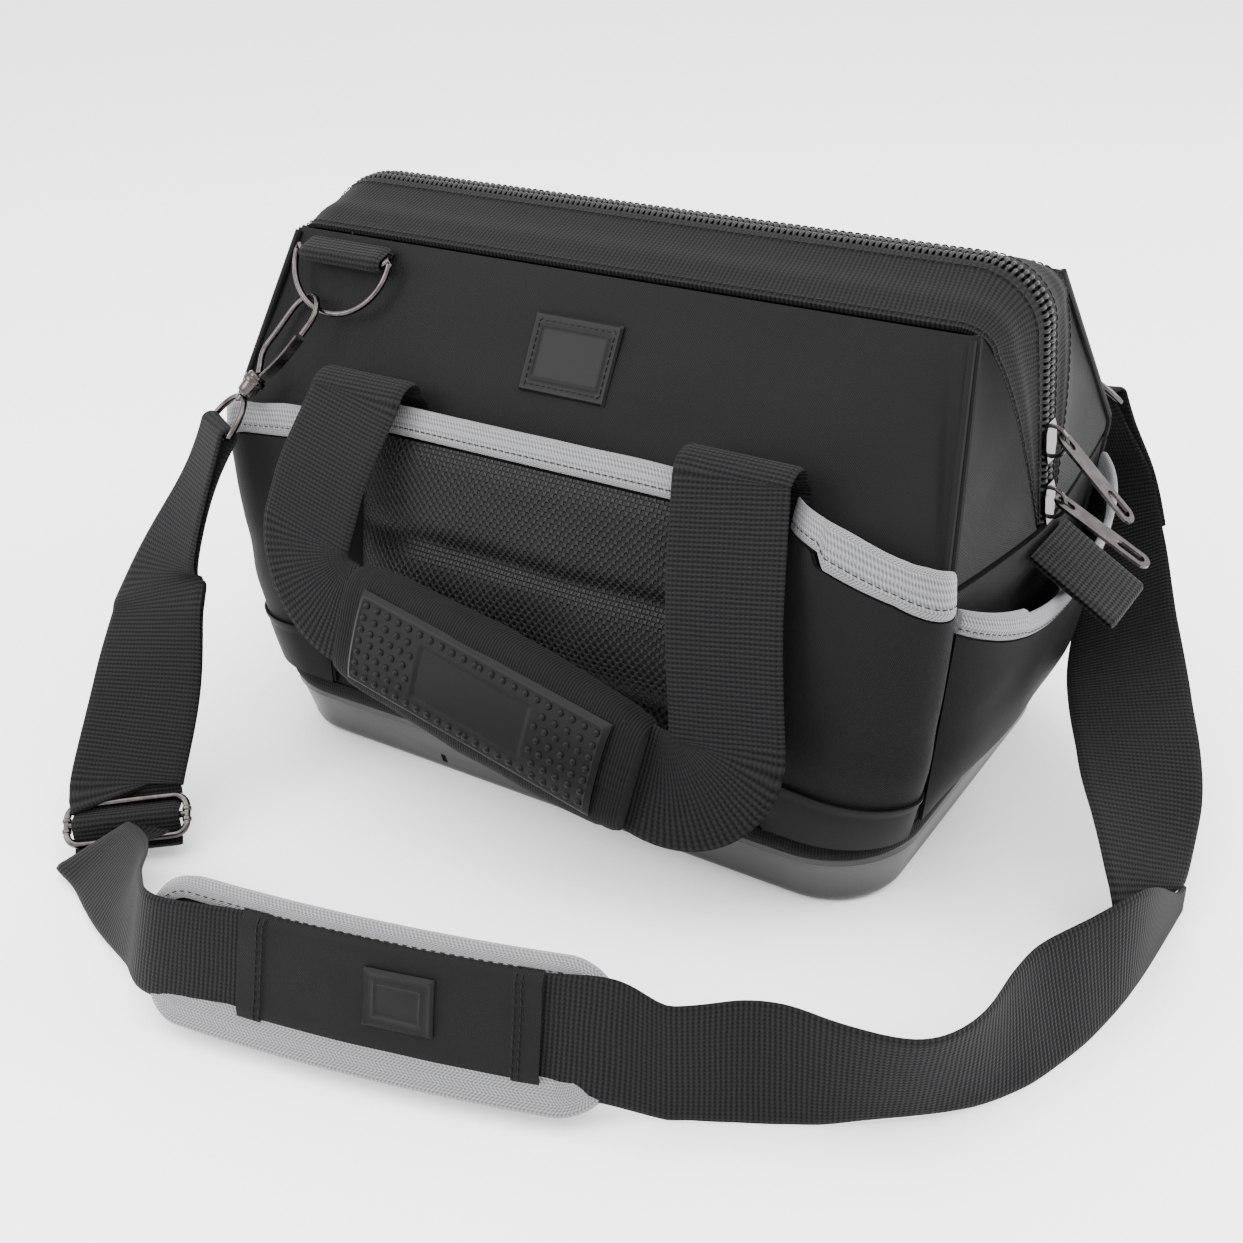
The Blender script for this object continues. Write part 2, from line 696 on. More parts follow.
def build_pockets():
    def edge(x):
        return lambda z: t_at(x, z)

    def piping(sign):
        return lambda z: sign * SIDE_POCKET_EDGE_T_SHARE

    for half_turn, side in ((False, "front"), (True, "back")):
        finish = "body_cloth" if half_turn else "mesh_cloth"
        build_pocket(side + "_centre_pocket", front_point, edge(-CENTRE_POCKET_HALF),
                     edge(CENTRE_POCKET_HALF), CENTRE_POCKET_TOP, CENTRE_POCKET_TOP,
                     CENTRE_POCKET_DEPTH, 13, finish, half_turn=half_turn, crease=FOLD_HEIGHT)
    build_pocket("front_left_pocket", front_point, piping(-1), edge(-SIDE_POCKET_INNER),
                 LEFT_POCKET_TOP, LEFT_POCKET_INNER_TOP, LEFT_POCKET_DEPTH, 10, "body_cloth")
    build_pocket("front_right_pocket", front_point, edge(SIDE_POCKET_INNER), piping(1),
                 RIGHT_POCKET_INNER_TOP, RIGHT_POCKET_TOP, RIGHT_POCKET_DEPTH, 10, "body_cloth",
                 sag=RIGHT_POCKET_SAG)
    for half_turn, side in ((False, "right"), (True, "left")):
        build_pocket(side + "_end_pocket", end_point,
                     lambda z: -stations(z, PIPING_Y) + END_POCKET_EDGE,
                     lambda z: stations(z, PIPING_Y) - END_POCKET_EDGE,
                     END_POCKET_TOP, END_POCKET_TOP, END_POCKET_DEPTH, 12, "body_cloth",
                     sag=END_POCKET_SAG, half_turn=half_turn)


# Zip end tabs: a folded loop of ribbed webbing sewn across the foot of the zip
TAB_WIDTH = 0.0400
TAB_LENGTH = 0.0420
TAB_THICKNESS = 0.0040
TAB_ROOT_HEIGHT = 0.1360
TAB_DROOP_DEG = 32.0


def build_end_tabs():
    """Each tab stands out from the end wall and droops under its own weight."""
    droop = math.radians(TAB_DROOP_DEG)
    out = Vector((math.cos(droop), 0.0, -math.sin(droop)))
    root = end_point(0.0, TAB_ROOT_HEIGHT)
    root += Vector((1.0, 0.0, 0.0)) * (TAB_THICKNESS / 2 * math.sin(droop))
    for half_turn, node in ((False, "right_zip_tab"), (True, "left_zip_tab")):
        centres = [turned(root + out * TAB_LENGTH * s, half_turn) for s in spread(4)]
        ribbon(node, centres, [Vector((0.0, 1.0, 0.0))] * 4, TAB_WIDTH, TAB_THICKNESS, "webbing")


# Zip sliders at the right end: a front and a back plate joined by a post between the coils,
# with a bail for the pull
SLIDER_HALF_WIDTH = 0.0056
SLIDER_LENGTH = 0.0170
SLIDER_PLATE = 0.0015
SLIDER_NECK_SHARE = 0.62
POST_THICKNESS = 0.0009
POST_LENGTH = 0.0060
BAIL_RADIUS = 0.0009
BAIL_RISE = 0.0068
BAIL_HALF_LENGTH = 0.0065
UPPER_SLIDER_HEIGHT = 0.1780
LOWER_SLIDER_HEIGHT = 0.1520
PULL_LENGTH = 0.0400
PULL_HALF_WIDTH = 0.0046
PULL_THICKNESS = 0.0012
PULL_HOLE = 0.0130
PULL_SLOT = 0.0082
PULL_RIM = 0.0010
PULL_HOLE_HALF_WIDTH_SHARE = 0.5
PULL_TIP_SHARE = 0.55
UPPER_PULL_DEG = 44.0
LOWER_PULL_DEG = 28.0


def end_x(z):
    return end_point(0.0, z).x


def build_slider(node, z, pull_node, pull_deg):
    """One slider with its plates square to the end panel, and its flat pull on the bail."""
    lean = math.atan2(end_x(z + SLIDER_LENGTH / 2) - end_x(z - SLIDER_LENGTH / 2), SLIDER_LENGTH)
    up = Vector((math.sin(lean), 0.0, math.cos(lean)))
    out = Vector((math.cos(lean), 0.0, -math.sin(lean)))
    centre = Vector((end_x(z), 0.0, z)) - out * ZIP_THICKNESS / 2
    half, neck = SLIDER_HALF_WIDTH, SLIDER_HALF_WIDTH * SLIDER_NECK_SHARE
    length = SLIDER_LENGTH / 2
    outline = [(-neck, -length), (neck, -length), (half, -length / 4), (half, length / 2),
               (neck, length), (-neck, length), (-half, length / 2), (-half, -length / 4)]
    step = ZIP_THICKNESS / 2 + 2 * SEAT + SLIDER_PLATE / 2
    side = Vector((0.0, 1.0, 0.0))
    plate = outline_plate(node, [outline], SLIDER_PLATE, frame_at(centre + out * step, side, out))
    slider = add_part(node, plate, "black_nickel")
    back = outline_plate(node, [outline], SLIDER_PLATE, frame_at(centre - out * step, side, out))
    boolean(slider, add_cutter(node + "_back", back), "UNION")
    post = box_mesh(node, (POST_LENGTH, POST_THICKNESS, 2 * step),
                    frame_at(centre + up * (length - POST_LENGTH), up, out))
    boolean(slider, add_cutter(node + "_post", post), "UNION")
    face = centre + out * (step + SLIDER_PLATE / 2)
    arch = []
    for i in range(9):
        angle = math.pi * i / 8
        arch.append(face + up * BAIL_HALF_LENGTH * math.cos(angle)
                    + out * (BAIL_RISE * math.sin(angle) - BAIL_RADIUS / 2))
    bail = tube_mesh(node, arch, BAIL_RADIUS)
    boolean(slider, add_cutter(node + "_bail", bail), "UNION")
    pivot = face + out * (BAIL_RISE - BAIL_RADIUS / 2)
    tilt = math.radians(pull_deg)
    down = Vector((math.cos(tilt), 0.0, -math.sin(tilt)))
    flat = Vector((math.sin(tilt), 0.0, math.cos(tilt)))
    return pivot, down, flat


def build_pull(node, pivot, down, flat):
    """A flat pull with a slot round the bail and a long hole near its tip."""
    eye = BAIL_RADIUS + 3 * SEAT
    start = -(PULL_SLOT / 2 + PULL_RIM)
    middle = (start + PULL_LENGTH) / 2
    outer = oval((PULL_LENGTH - start) / 2, PULL_HALF_WIDTH, 20, (middle, 0.0))
    slot = oval(PULL_SLOT / 2, eye, 12)
    hole_x = PULL_LENGTH - PULL_HOLE / 2 - PULL_HALF_WIDTH * PULL_TIP_SHARE
    hole = oval(PULL_HOLE / 2, PULL_HALF_WIDTH * PULL_HOLE_HALF_WIDTH_SHARE, 12, (hole_x, 0.0))
    plate = outline_plate(node, [outer, slot, hole], PULL_THICKNESS, frame_at(pivot, down, flat))
    add_part(node, plate, "black_nickel")


def build_sliders():
    for name, z, degrees in (("upper", UPPER_SLIDER_HEIGHT, UPPER_PULL_DEG),
                             ("lower", LOWER_SLIDER_HEIGHT, LOWER_PULL_DEG)):
        made = build_slider(name + "_slider", z, name + "_pull", degrees)
        build_pull(name + "_pull", *made)


# Carry handles: webbing anchored above the centre pocket, folded over and hanging in a loop
ANCHOR_X = 0.0925
ANCHOR_LOW = 0.1745
ANCHOR_TURN = 0.0050
HANDLE_PIVOT_Y = 0.0895
HANDLE_PIVOT_Z = 0.1810
LEG_START_OUT = 0.0091


def build_anchors():
    """The sewn end of each leg: up the wall and over the fold."""
    for half_turn, side in ((False, "front"), (True, "back")):
        for sign, hand in ((-1, "left"), (1, "right")):
            foot = out_from(front_point, t_at(ANCHOR_X, ANCHOR_LOW), ANCHOR_LOW,
                            WEBBING / 2 + SEAT)
            path = [Vector((sign * ANCHOR_X, foot.y, foot.z))]
            for i in range(7):
                angle = math.pi * i / 6
                path.append(Vector((sign * ANCHOR_X,
                                    -HANDLE_PIVOT_Y + ANCHOR_TURN * math.cos(angle),
                                    HANDLE_PIVOT_Z + ANCHOR_TURN * math.sin(angle))))
            centres = [turned(p, half_turn) for p in path]
            ribbon(f"{side}_{hand}_anchor", centres, [Vector((1.0, 0.0, 0.0))] * len(centres),
                   WEBBING_WIDTH, WEBBING, "webbing")


LEG_CORNER = 0.0285
LEG_STRAIGHT = 0.0045
LEG_BOW = 0.0040
LEG_STEPS_DOWN = 7
CORNER_STEPS = 5
GRIP_LEFT = (-0.0780, -0.1330, 0.0930)
GRIP_RIGHT = (0.0740, -0.1400, 0.0650)
GRIP_HALF_HEIGHT = 0.0300
GRIP_HALF_THICKNESS = 0.0110
GRIP_LEAN_DEG = 12.0
GRIP_SECTIONS = 7
GRIP_SIDES = 16
GRIP_POWER_SHARE = 0.55
GRIP_END_SHARE = 0.90
GRIP_PAD_THICKNESS = 0.0022
GRIP_PAD_HALF_HEIGHT = 0.0215
GRIP_PAD_END = 0.0120
GRIP_PAD_CORNER = 0.0075


def grip_frame():
    left, right = Vector(GRIP_LEFT), Vector(GRIP_RIGHT)
    along = (right - left).normalized()
    lean = math.radians(GRIP_LEAN_DEG)
    up = Vector((0.0, math.sin(lean), math.cos(lean)))
    up = (up - along * up.dot(along)).normalized()
    return left, right, along, up, along.cross(up).normalized()


def build_front_handle():
    """Two legs that turn on edge as they reach the padded grip between them."""
    left, right, along, up, through = grip_frame()
    for sign, end, hand in ((-1, left, "left"), (1, right, "right")):
        top = Vector((sign * ANCHOR_X, -HANDLE_PIVOT_Y - LEG_START_OUT, HANDLE_PIVOT_Z))
        corner = end + along * sign * (LEG_CORNER + LEG_STRAIGHT) + up * LEG_CORNER
        knee = top.lerp(corner, 0.5) + Vector((0.0, -LEG_BOW, 0.0))
        centres = smooth_path([top, knee, corner], LEG_STEPS_DOWN)
        widths = [Vector((1.0, 0.0, 0.0))] * (len(centres) - 1) + [along]
        for i in range(1, CORNER_STEPS + 1):
            angle = math.pi / 2 * i / CORNER_STEPS
            middle = end + along * sign * (SEAT + LEG_STRAIGHT) + up * LEG_CORNER
            reach = along * sign * math.cos(angle) - up * math.sin(angle)
            centres.append(middle + reach * LEG_CORNER)
            widths.append(along * math.cos(angle) - up * sign * math.sin(angle))
        centres.append(end + along * sign * SEAT)
        widths.append(widths[-1])
        ribbon(f"front_handle_{hand}_leg", centres, widths, WEBBING_WIDTH, WEBBING, "webbing")
    sections = []
    for share in spread(GRIP_SECTIONS):
        centre = left.lerp(right, share)
        swell = GRIP_END_SHARE + (1 - GRIP_END_SHARE) * math.sin(math.pi * share)
        ring = []
        for i in range(GRIP_SIDES):
            angle = 2 * math.pi * i / GRIP_SIDES
            c, s = math.cos(angle), math.sin(angle)
            a = math.copysign(abs(c) ** GRIP_POWER_SHARE, c) * GRIP_HALF_HEIGHT * swell
            b = math.copysign(abs(s) ** GRIP_POWER_SHARE, s) * GRIP_HALF_THICKNESS * swell
            ring.append(centre + up * a + through * b)
        sections.append(ring)
    loft("front_handle_grip", sections, "webbing")
    out = through if through.y < 0 else -through
    middle = left.lerp(right, 0.5) + out * (GRIP_HALF_THICKNESS + SEAT + GRIP_PAD_THICKNESS / 2)
    half = (right - left).length / 2 - GRIP_PAD_END
    plate = outline_plate("front_grip_pad", [pad_outline(half, GRIP_PAD_HALF_HEIGHT, GRIP_PAD_CORNER)],
                          GRIP_PAD_THICKNESS, frame_at(middle, along, out))
    add_part("front_grip_pad", plate, "rubber_pad")


def pad_outline(half_x, half_y, corner, steps=3):
    """A rectangle with round corners, in its own plane."""
    ring = rounded_ring(half_x, half_y, corner, 0.0, steps)
    return [(p.x, p.y) for p in ring]


BACK_HANDLE_DROP = 0.1395
BACK_HANDLE_LEAN = 0.0240
BACK_HANDLE_OUT = 0.0076
BACK_HANDLE_CORNER = 0.0450
BACK_HANDLE_INSET = 0.0045


def build_back_handle():
    """The plain handle that hangs at the back, one loop of webbing with rounded lower corners."""
    corner = BACK_HANDLE_CORNER
    low = HANDLE_PIVOT_Z - BACK_HANDLE_DROP
    y_top = HANDLE_PIVOT_Y + BACK_HANDLE_OUT
    y_low = y_top + BACK_HANDLE_LEAN
    half = []
    for share in spread(5):
        half.append(Vector((ANCHOR_X, y_top + (y_low - y_top) * share,
                            HANDLE_PIVOT_Z + (low + corner - HANDLE_PIVOT_Z) * share)))
    inner = ANCHOR_X - WEBBING_WIDTH / 2
    widths = [Vector((1.0, 0.0, 0.0))] * 5
    for i in range(1, 7):
        angle = math.pi / 2 * i / 6
        middle = Vector((inner - BACK_HANDLE_INSET, y_low, low + corner))
        reach_x = ANCHOR_X - middle.x
        half.append(middle + Vector((reach_x * math.cos(angle), 0.0, -corner * math.sin(angle))))
        widths.append(Vector((math.cos(angle), 0.0, -math.sin(angle))))
    centres = half + [Vector((-p.x, p.y, p.z)) for p in reversed(half)]
    widths = widths + [Vector((-w.x, w.y, w.z)) for w in reversed(widths)]
    ribbon("back_handle_webbing", centres, widths, WEBBING_WIDTH, WEBBING, "webbing")


# Strap hardware at the front left and the back right: a webbing tab under the band, a D-ring,
# and a snap hook with a sprung gate and a swivel
RING_X = 0.1290
RING_HALF_WIDTH = 0.0270
RING_DROP = 0.0250
RING_WIRE = 0.0014
RING_OFF_WALL = 0.0072
RING_TOP = 0.2215
RING_BAR_SHARE = 0.86
RING_ROUND_SHARE = 0.06
RING_TAB_HEIGHT = 0.0080
RING_TAB_WRAP_DEG = (20.0, 224.0)
HOOK_WIRE = 0.00135
HOOK_EYE = 0.0115
HOOK_BODY = 0.0540
HOOK_DIRECTION = (-0.36, -0.60, -0.71)
HOOK_TWIST_DEG = 24.0
HOOK_AT_DEG = 116.0
HOOK_NOSE = 0.0052
HOOK_SHOULDER = 0.0029
SPINE_LEAN_SHARE = 0.9
SPINE_SHARES = (0.1, 0.7, 0.35)
BARREL_RADIUS = 0.0042
BARREL_LENGTH = 0.0110
COLLAR_RADIUS = 0.0052
SWIVEL_WIRE = 0.0015
SWIVEL_STEM = 0.0018
SWIVEL_BAR_SHARE = 0.85
SWIVEL_HALF_WIDTH = 0.0130
SWIVEL_DROP = 0.0180
GATE_THICKNESS = 0.0016
GATE_WIDTH = 0.0050


def wall_direction():
    """Down the upper front wall, and straight out from it."""
    down = Vector((0.0, BAND_HALF_WIDTH - FOLD_HALF_WIDTH, FOLD_HEIGHT - BAND_HEIGHT)).normalized()
    return down, Vector((0.0, down.z, -down.y))


def build_ring_tab(half_turn, node):
    """Webbing folded round the D-ring's straight bar, sewn just under the band."""
    down, out = wall_direction()
    bar = ring_bar()
    turn = RING_WIRE + SEAT + WEBBING / 2
    top = bar - out * RING_OFF_WALL - down * RING_TAB_HEIGHT
    path = [top + out * (WEBBING / 2 + SEAT)]
    for degrees in spread(8, *RING_TAB_WRAP_DEG):
        angle = math.radians(degrees)
        path.append(bar + (down * math.sin(angle) - out * math.cos(angle)) * turn)
    path.append(top + out * (3 * WEBBING / 2 + 2 * SEAT))
    width = 2 * (RING_HALF_WIDTH - RING_WIRE - 2 * SEAT) - 2 * RING_WIRE
    centres = [turned(p, half_turn) for p in path]
    ribbon(node, centres, [Vector((1.0, 0.0, 0.0))] * len(centres), width, WEBBING, "webbing")


def ring_bar():
    """The middle of the D-ring's straight bar."""
    down, out = wall_direction()
    return Vector((-RING_X, -stations(RING_TOP, FRONT_Y), RING_TOP)) + out * RING_OFF_WALL


def build_ring(half_turn, node):
    down, _ = wall_direction()
    bar = ring_bar()
    side = Vector((1.0, 0.0, 0.0))
    reach = RING_HALF_WIDTH * RING_BAR_SHARE
    points = [bar + side * x for x in spread(5, -reach, reach)]
    for i in range(1, 14):
        angle = math.pi * (i / 14 - RING_ROUND_SHARE * math.cos(math.pi * i / 14))
        points.append(bar + side * RING_HALF_WIDTH * math.cos(angle)
                      + down * RING_DROP * math.sin(angle))
    mesh = tube_mesh(node, [turned(p, half_turn) for p in points], RING_WIRE, cyclic=True)
    add_part(node, mesh, "black_nickel")


def hook_frame():
    """The hook's own axes: down its length, across its eye, and out of its plane."""
    down = Vector(HOOK_DIRECTION).normalized()
    wall_down, out = wall_direction()
    angle = math.radians(HOOK_AT_DEG)
    caught = (ring_bar() + Vector((1.0, 0.0, 0.0)) * RING_HALF_WIDTH * math.cos(angle)
              + wall_down * RING_DROP * math.sin(angle))
    top = caught - down * (HOOK_WIRE + RING_WIRE + 3 * SEAT)
    across = out.cross(down).normalized()
    across = Matrix.Rotation(math.radians(HOOK_TWIST_DEG), 3, down) @ across
    return top, down, across, down.cross(across).normalized()


def hook_outline():
    """The bent wire: from the barrel up the spine, over the eye, and down to the gate's nose."""
    top, down, across, _ = hook_frame()
    eye = top + down * HOOK_EYE
    spine = eye - across * HOOK_EYE
    start = top + down * (HOOK_BODY - BARREL_LENGTH)
    lean = start - across * HOOK_EYE * SPINE_LEAN_SHARE
    points = [start, start.lerp(spine, SPINE_SHARES[0]) - across * HOOK_SHOULDER]
    points += [spine.lerp(lean, share) for share in SPINE_SHARES[1:]]
    for i in range(11):
        angle = math.pi * i / 10
        points.append(eye - across * HOOK_EYE * math.cos(angle) - down * HOOK_EYE * math.sin(angle))
    points.append(eye + across * HOOK_EYE + down * HOOK_NOSE)
    return points


def build_hook(half_turn, node):
    """The hook is one piece: bent wire, barrel and collar, with a blind bore for the swivel."""
    top, down, across, _ = hook_frame()
    wire = tube_mesh(node, [turned(p, half_turn) for p in hook_outline()], HOOK_WIRE)
    hook = add_part(node, wire, "black_nickel")
    start = top + down * (HOOK_BODY - BARREL_LENGTH)
    for name, radius, length, place in (
            ("barrel", BARREL_RADIUS, BARREL_LENGTH, start + down * BARREL_LENGTH / 2),
            ("collar", COLLAR_RADIUS, BARREL_LENGTH / 4, start + down * BARREL_LENGTH / 3)):
        axis = turned(down, half_turn)
        matrix = frame_at(turned(place, half_turn), turned(across, half_turn), axis)
        boolean(hook, add_cutter(node + "_" + name, cylinder_mesh(node, radius, length, matrix)),
                "UNION")
    bore = frame_at(turned(start + down * BARREL_LENGTH, half_turn), turned(across, half_turn),
                    turned(down, half_turn))
    boolean(hook, add_cutter(node + "_bore", cylinder_mesh(node, SWIVEL_STEM + SEAT,
                                                           BARREL_LENGTH, bore, 12)), "DIFFERENCE")


def build_gate(half_turn, node):
    """The sprung lever that closes the hook, from the barrel to the nose."""
    top, down, across, out = hook_frame()
    eye = top + down * HOOK_EYE
    nose = eye + across * HOOK_EYE + down * (HOOK_NOSE + HOOK_WIRE + SEAT)
    heel = top + down * (HOOK_BODY - BARREL_LENGTH) + across * (BARREL_RADIUS + GATE_THICKNESS)
    centres = [turned(heel.lerp(nose, s) + across * GATE_THICKNESS * math.sin(math.pi * s),
                      half_turn) for s in spread(5)]
    ribbon(node, centres, [turned(out, half_turn)] * 5, GATE_WIDTH, GATE_THICKNESS,
           "black_nickel")


def build_swivel(half_turn, node):
    """A stem that turns in the barrel and the D-shaped loop that holds the strap."""
    top, down, across, _ = hook_frame()
    foot = top + down * HOOK_BODY
    stem_top = foot - down * (BARREL_LENGTH / 2 - 2 * SEAT)
    neck = foot + down * (SWIVEL_WIRE + 2 * SEAT)
    foot_line = neck + down * SWIVEL_DROP
    loop = [foot_line + across * x
            for x in spread(5, -SWIVEL_HALF_WIDTH * SWIVEL_BAR_SHARE,
                            SWIVEL_HALF_WIDTH * SWIVEL_BAR_SHARE)]
    for i in range(1, 12):
        angle = math.pi * i / 12
        loop.append(foot_line + across * SWIVEL_HALF_WIDTH * math.cos(angle)
                    - down * SWIVEL_DROP * math.sin(angle))
    ring = tube_mesh(node, [turned(p, half_turn) for p in loop], SWIVEL_WIRE, cyclic=True)
    swivel = add_part(node, ring, "black_nickel")
    stem = tube_mesh(node, [turned(p, half_turn) for p in (stem_top, neck)], SWIVEL_STEM)
    boolean(swivel, add_cutter(node + "_stem", stem), "UNION")


def build_hardware():
    for half_turn, hand in ((False, "left"), (True, "right")):
        build_ring_tab(half_turn, hand + "_ring_tab")
        build_ring(half_turn, hand + "_d_ring")
        build_hook(half_turn, hand + "_snap_hook")
        build_gate(half_turn, hand + "_hook_gate")
        build_swivel(half_turn, hand + "_hook_swivel")


# Shoulder strap, laid on the ground as it was put down: doubled webbing from the left hook to
# the adjuster, a length through the shoulder pad, a long stretch standing on its edge round
# the bag's front right corner, and the run that rises from there to the right hook
STRAP_GATHERED = 0.0190
STRAP_LOOP_STEPS = 6
RUN_STEPS = 16
STRAP_TAIL = 4
# Each place on a run: its middle, the direction of the webbing across it, and its width there
LEFT_RUN = [((-0.1790, -0.1430, 0.1010), (0.88, -0.30, -0.13), 0.0460),
            ((-0.1715, -0.1610, 0.0830), (0.90, -0.05, -0.10), 0.0500),
            ((-0.1610, -0.1850, 0.0540), (0.81, 0.58, 0.04), 0.0500),
            ((-0.1508, -0.2107, 0.0284), (0.79, 0.61, 0.04), 0.0500),
            ((-0.1469, -0.2153, 0.0240), (0.79, 0.61, 0.04), 0.0490)]
RIGHT_RUN = [((0.1810, 0.1100, 0.1200), (0.78, -0.30, 0.55), 0.0360),
             ((0.1925, 0.0920, 0.0910), (0.78, -0.24, 0.57), 0.0440),
             ((0.2060, 0.0520, 0.0700), (0.75, 0.10, 0.40), 0.0500),
             ((0.2210, 0.0160, 0.0610), (0.70, 0.42, 0.10), 0.0500),
             ((0.2335, -0.0100, 0.0540), (0.55, 0.75, 0.10), 0.0500),
             ((0.2440, -0.0330, 0.0430), (0.35, 0.90, 0.10), 0.0500),
             ((0.2530, -0.0530, 0.0240), (0.15, 0.98, 0.05), 0.0500),
             ((0.2550, -0.0590, 0.0095), (0.15, 0.98, 0.00), 0.0500)]
# The turn below the adjuster, until the webbing stands on its edge and reaches the pad
FLOOR_TURN = [((-0.1353, -0.2316, 0.0107), (0.79, 0.61, 0.04), 0.0470),
              ((-0.1335, -0.2400, 0.0155), (0.70, 0.45, 0.45), 0.0490),
              ((-0.1235, -0.2540, 0.0235), (0.45, 0.25, 0.85), 0.0500),
              ((-0.0990, -0.2680, 0.0262), (0.20, 0.10, 0.97), 0.0500),
              ((-0.0750, -0.2810, 0.0285), (0.20, 0.15, 0.95), 0.0460),
              ((-0.0520, -0.2870, 0.0330), (0.10, 0.25, 0.93), 0.0430)]
# The lower edge of the webbing on the ground past the pad, with its lean away from the bag
FLOOR_EDGE = [(0.1440, -0.2330, 0.0), (0.1560, -0.2285, -6.0), (0.1680, -0.2235, -12.0),
              (0.1810, -0.2165, -10.0), (0.1960, -0.2050, 6.0), (0.2150, -0.1890, 18.0),
              (0.2310, -0.1760, 8.0), (0.2450, -0.1590, -12.0), (0.2530, -0.1400, -18.0),
              (0.2585, -0.1160, -10.0), (0.2626, -0.0870, 0.0)]
FLOOR_END = (0.2644, -0.0320)
FLOOR_END_WIDTH = 0.0080
FLOOR_STRAP_STEPS = 54


def guided(rows, count):
    """Even steps along rows of (middle, width direction, width), as three lists."""
    lengths = [0.0]
    for (a, _, _), (b, _, _) in zip(rows, rows[1:]):
        lengths.append(lengths[-1] + (Vector(b) - Vector(a)).length)
    turns, sizes, k = [], [], 0
    for share in spread(count):
        goal = share * lengths[-1]
        while k < len(rows) - 2 and lengths[k + 1] < goal:
            k += 1
        part = min(1.0, (goal - lengths[k]) / (lengths[k + 1] - lengths[k]))
        turns.append(Vector(rows[k][1]).lerp(Vector(rows[k + 1][1]), part).normalized())
        sizes.append(rows[k][2] + (rows[k + 1][2] - rows[k][2]) * part)
    return smooth_path([row[0] for row in rows], count), turns, sizes


def swivel_foot():
    """The middle of the swivel loop's lowest wire, where the strap goes round."""
    top, down, _, _ = hook_frame()
    return top + down * (HOOK_BODY + SWIVEL_WIRE + 2 * SEAT + SWIVEL_DROP)


def looped_strap(node, spine, turns, sizes, tail):
    """Webbing that comes up to the swivel loop, goes round it, and lies back along itself."""
    turn = SWIVEL_WIRE + 4 * SEAT + WEBBING / 2
    count = len(spine)
    outer, inner = [], []
    for i in range(1, count):
        along = (spine[min(i + 1, count - 1)] - spine[i - 1]).normalized()
        through = along.cross(turns[i]).normalized()
        half = WEBBING / 2 + SEAT + (turn - WEBBING / 2 - SEAT) * max(0.0, 1 - i / 3)
        outer.append(spine[i] + through * half)
        inner.append(spine[i] - through * half)
    along = (spine[1] - spine[0]).normalized()
    through = along.cross(turns[0]).normalized()
    loop = []
    for i in range(STRAP_LOOP_STEPS + 1):
        angle = math.pi * i / STRAP_LOOP_STEPS
        loop.append(spine[0] + (through * math.cos(angle) - along * math.sin(angle)) * turn)
    centres = list(reversed(outer)) + loop + inner[:tail]
    widths = list(reversed(turns[1:])) + [turns[0]] * len(loop) + turns[1:tail + 1]
    size = list(reversed(sizes[1:])) + [sizes[0]] * len(loop) + sizes[1:tail + 1]
    ribbon(node, centres, widths, size, WEBBING, "webbing")


def build_hanging_run(node, half_turn, run, tail):
    """The strap below one hook: gathered at the swivel loop, flat further down."""
    _, _, across, _ = hook_frame()
    first = turned(across, half_turn)
    if first.dot(Vector(run[0][1])) < 0:
        first = -first
    rows = [(turned(swivel_foot(), half_turn), first, STRAP_GATHERED)]
    looped_strap(node, *guided(rows + run, RUN_STEPS), tail)


ADJUSTER_HALF_LENGTH = 0.0262
ADJUSTER_HALF_HEIGHT = 0.0090
ADJUSTER_WIRE = 0.0016
ADJUSTER_CENTRE = (-0.1410, -0.2225, 0.0170)
ADJUSTER_ALONG = (0.79, 0.61, 0.04)
ADJUSTER_UP = (-0.25, 0.77, 0.58)


def build_adjuster():
    """A tri-glide bent from wire: a long rounded loop with a bar across its middle."""
    centre, along = Vector(ADJUSTER_CENTRE), Vector(ADJUSTER_ALONG).normalized()
    up = Vector(ADJUSTER_UP)
    up = (up - along * up.dot(along)).normalized()
    loop = [centre + along * x + up * y
            for x, y in oval(ADJUSTER_HALF_LENGTH, ADJUSTER_HALF_HEIGHT, 20)]
    glide = add_part("strap_adjuster", tube_mesh("strap_adjuster", loop, ADJUSTER_WIRE, True),
                     "black_nickel")
    bar = [centre - along * ADJUSTER_HALF_LENGTH, centre + along * ADJUSTER_HALF_LENGTH]
    boolean(glide, add_cutter("adjuster_bar", tube_mesh("adjuster_bar", bar, ADJUSTER_WIRE)),
            "UNION")


PAD_MIDDLE = (0.0375, -0.2735)
PAD_ALONG = (0.973, 0.231)
PAD_BEND_RADIUS = 0.8650
PAD_LEAN_DEG = 18.0
PAD_HALF_LENGTH = 0.0955
PAD_LOW = 0.0052
PAD_HIGH = 0.0590
PAD_CORNER = 0.0200
PAD_CORNER_STEPS = 5
PAD_COLUMNS = 11
PAD_THICKNESS = 0.0085
PAD_EDGE_THICKNESS = 0.0040
PAD_BINDING_RADIUS = 0.0024
SLEEVE_LEFT = -0.0500
SLEEVE_RIGHT = 0.0700
SLEEVE_THICKNESS = 0.0014
SLEEVE_MARGIN = 0.0003
STRAP_IN_SLEEVE = 0.0496
STRAP_AT_SLEEVE = 0.0430


